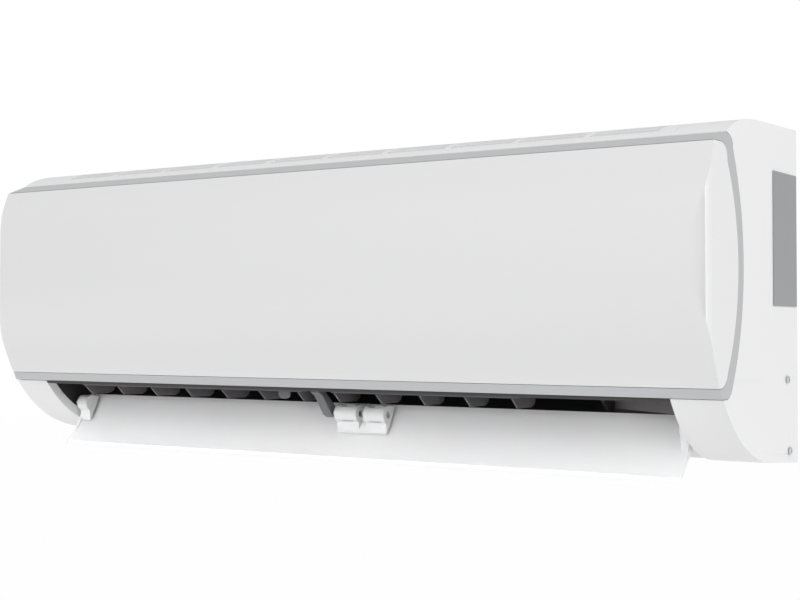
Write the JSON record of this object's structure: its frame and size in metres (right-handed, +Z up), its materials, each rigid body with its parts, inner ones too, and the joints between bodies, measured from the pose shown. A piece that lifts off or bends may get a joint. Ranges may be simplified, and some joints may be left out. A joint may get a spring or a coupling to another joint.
{
  "type": "mini split indoor unit",
  "caption": "Wall-mounted white indoor air unit with bowed front panel, silver frame, swing flap under a dark air outlet, top grille, fan, coil and wall plate.",
  "frame": {"origin": "centre of the wall plate's back face, on the wall", "axes": "+X along the unit, +Y into the wall, +Z up; -Y is the front"},
  "size_m": [0.8016, 0.2044, 0.2954],
  "materials": {
    "zinc_steel": "zinc-plated sheet steel, satin",
    "white_plastic": "cool white moulding, satin",
    "silver_foil": "bare brushed foil",
    "gloss_white": "glossy white panel",
    "silver_paint": "silver-grey satin frame",
    "filter_blue": "blue-grey filter frame",
    "dark_plastic": "charcoal moulding",
    "grey_plastic": "mid-grey moulding",
    "black_rubber": "black rubber",
    "natural_plastic": "uncoloured translucent nylon",
    "fan_grey": "glass-filled grey plastic",
    "bright_steel": "ground steel",
    "motor_resin": "off-white resin",
    "fin_aluminium": "coated fin stock",
    "copper": "bare copper",
    "brass": "turned brass",
    "board_green": "solder-masked board"
  },
  "bodies": {
    "casing": {"mounting_plate": "zinc_steel", "rear_chassis": "white_plastic", "front_casing": "white_plastic", "intake_grille": "white_plastic", "rating_plate": "silver_foil", "air_filter_left": "filter_blue", "air_filter_right": "filter_blue", "display_module": "dark_plastic", "outlet_duct": "dark_plastic", "drain_plug": "black_rubber", "flap_pin_left": "dark_plastic", "flap_support_arm": "grey_plastic", "flap_motor": "white_plastic", "fan_bearing": "black_rubber", "fan_motor": "motor_resin", "motor_strap": "zinc_steel", "coil_front_lower": "fin_aluminium", "coil_front_upper": "fin_aluminium", "coil_rear": "fin_aluminium", "coil_end_left": "copper", "coil_end_right": "copper", "gas_pipe": "copper", "liquid_pipe": "copper", "gas_flare_nut": "brass", "liquid_flare_nut": "brass", "pipe_clamp": "dark_plastic", "control_box": "motor_resin", "control_box_cover": "motor_resin", "control_board": "board_green", "terminal_block": "dark_plastic", "side_screw_right_1": "zinc_steel", "side_screw_left_1": "zinc_steel", "side_screw_right_2": "zinc_steel", "side_screw_left_2": "zinc_steel"},
    "panel": {"front_panel": "gloss_white", "panel_frame": "silver_paint"},
    "flap": {"louver_flap": "white_plastic", "flap_bush_left": "natural_plastic", "flap_centre_clip": "natural_plastic", "flap_motor_shaft": "dark_plastic"},
    "link_left": {"vane_link_left": "grey_plastic"},
    "link_right": {"vane_link_right": "grey_plastic"},
    "fan": {"crossflow_fan": "fan_grey", "fan_stub_shaft": "bright_steel", "motor_shaft": "bright_steel"},
    "swing_vane_1": {"vane_1": "dark_plastic"},
    "swing_vane_2": {"vane_2": "dark_plastic"},
    "swing_vane_3": {"vane_3": "dark_plastic"},
    "swing_vane_4": {"vane_4": "dark_plastic"},
    "swing_vane_5": {"vane_5": "dark_plastic"},
    "swing_vane_6": {"vane_6": "dark_plastic"},
    "swing_vane_7": {"vane_7": "dark_plastic"},
    "swing_vane_8": {"vane_8": "dark_plastic"},
    "swing_vane_9": {"vane_9": "dark_plastic"},
    "swing_vane_10": {"vane_10": "dark_plastic"},
    "swing_vane_11": {"vane_11": "dark_plastic"},
    "swing_vane_12": {"vane_12": "dark_plastic"}
  },
  "joints": [
    {"name": "panel_hinge", "type": "hinge", "parent": "casing", "child": "panel", "pos_m": [0, -0.166, 0.1115], "axis": [-1, 0, 0], "range_deg": [0, 55]},
    {"name": "flap_hinge", "type": "hinge", "parent": "casing", "child": "flap", "pos_m": [0, -0.121, -0.114], "axis": [1, 0, 0], "range_deg": [-89, 8]},
    {"name": "link_left_slide", "type": "slide", "parent": "casing", "child": "link_left", "axis": [1, 0, 0], "range_m": [-0.0069, 0.0069]},
    {"name": "link_right_slide", "type": "slide", "parent": "casing", "child": "link_right", "axis": [1, 0, 0], "range_m": [-0.0069, 0.0069]},
    {"name": "fan_spin", "type": "hinge", "parent": "casing", "child": "fan", "pos_m": [0, -0.082, -0.038], "axis": [1, 0, 0], "continuous": true},
    {"name": "vane_1_hinge", "type": "hinge", "parent": "casing", "child": "swing_vane_1", "pos_m": [-0.309, -0.13, -0.09], "axis": [0, 0, 1], "range_deg": [-25.5, 25.5]},
    {"name": "vane_2_hinge", "type": "hinge", "parent": "casing", "child": "swing_vane_2", "pos_m": [-0.2625, -0.13, -0.09], "axis": [0, 0, 1], "range_deg": [-25.5, 25.5]},
    {"name": "vane_3_hinge", "type": "hinge", "parent": "casing", "child": "swing_vane_3", "pos_m": [-0.216, -0.13, -0.09], "axis": [0, 0, 1], "range_deg": [-25.5, 25.5]},
    {"name": "vane_4_hinge", "type": "hinge", "parent": "casing", "child": "swing_vane_4", "pos_m": [-0.1695, -0.13, -0.09], "axis": [0, 0, 1], "range_deg": [-25.5, 25.5]},
    {"name": "vane_5_hinge", "type": "hinge", "parent": "casing", "child": "swing_vane_5", "pos_m": [-0.123, -0.13, -0.09], "axis": [0, 0, 1], "range_deg": [-25.5, 25.5]},
    {"name": "vane_6_hinge", "type": "hinge", "parent": "casing", "child": "swing_vane_6", "pos_m": [-0.0765, -0.13, -0.09], "axis": [0, 0, 1], "range_deg": [-25.5, 25.5]},
    {"name": "vane_7_hinge", "type": "hinge", "parent": "casing", "child": "swing_vane_7", "pos_m": [-0.03, -0.13, -0.09], "axis": [0, 0, 1], "range_deg": [-25.5, 25.5]},
    {"name": "vane_8_hinge", "type": "hinge", "parent": "casing", "child": "swing_vane_8", "pos_m": [0.012, -0.13, -0.09], "axis": [0, 0, 1], "range_deg": [-25.5, 25.5]},
    {"name": "vane_9_hinge", "type": "hinge", "parent": "casing", "child": "swing_vane_9", "pos_m": [0.0585, -0.13, -0.09], "axis": [0, 0, 1], "range_deg": [-25.5, 25.5]},
    {"name": "vane_10_hinge", "type": "hinge", "parent": "casing", "child": "swing_vane_10", "pos_m": [0.105, -0.13, -0.09], "axis": [0, 0, 1], "range_deg": [-25.5, 25.5]},
    {"name": "vane_11_hinge", "type": "hinge", "parent": "casing", "child": "swing_vane_11", "pos_m": [0.1515, -0.13, -0.09], "axis": [0, 0, 1], "range_deg": [-25.5, 25.5]},
    {"name": "vane_12_hinge", "type": "hinge", "parent": "casing", "child": "swing_vane_12", "pos_m": [0.198, -0.13, -0.09], "axis": [0, 0, 1], "range_deg": [-25.5, 25.5]}
  ],
  "couplings": [
    {"joint": "vane_1_hinge", "follows": "link_left_slide", "rad_per_m": 62.5},
    {"joint": "vane_2_hinge", "follows": "link_left_slide", "rad_per_m": 62.5},
    {"joint": "vane_3_hinge", "follows": "link_left_slide", "rad_per_m": 62.5},
    {"joint": "vane_4_hinge", "follows": "link_left_slide", "rad_per_m": 62.5},
    {"joint": "vane_5_hinge", "follows": "link_left_slide", "rad_per_m": 62.5},
    {"joint": "vane_6_hinge", "follows": "link_left_slide", "rad_per_m": 62.5},
    {"joint": "vane_7_hinge", "follows": "link_left_slide", "rad_per_m": 62.5},
    {"joint": "vane_8_hinge", "follows": "link_right_slide", "rad_per_m": 62.5},
    {"joint": "vane_9_hinge", "follows": "link_right_slide", "rad_per_m": 62.5},
    {"joint": "vane_10_hinge", "follows": "link_right_slide", "rad_per_m": 62.5},
    {"joint": "vane_11_hinge", "follows": "link_right_slide", "rad_per_m": 62.5},
    {"joint": "vane_12_hinge", "follows": "link_right_slide", "rad_per_m": 62.5}
  ]
}
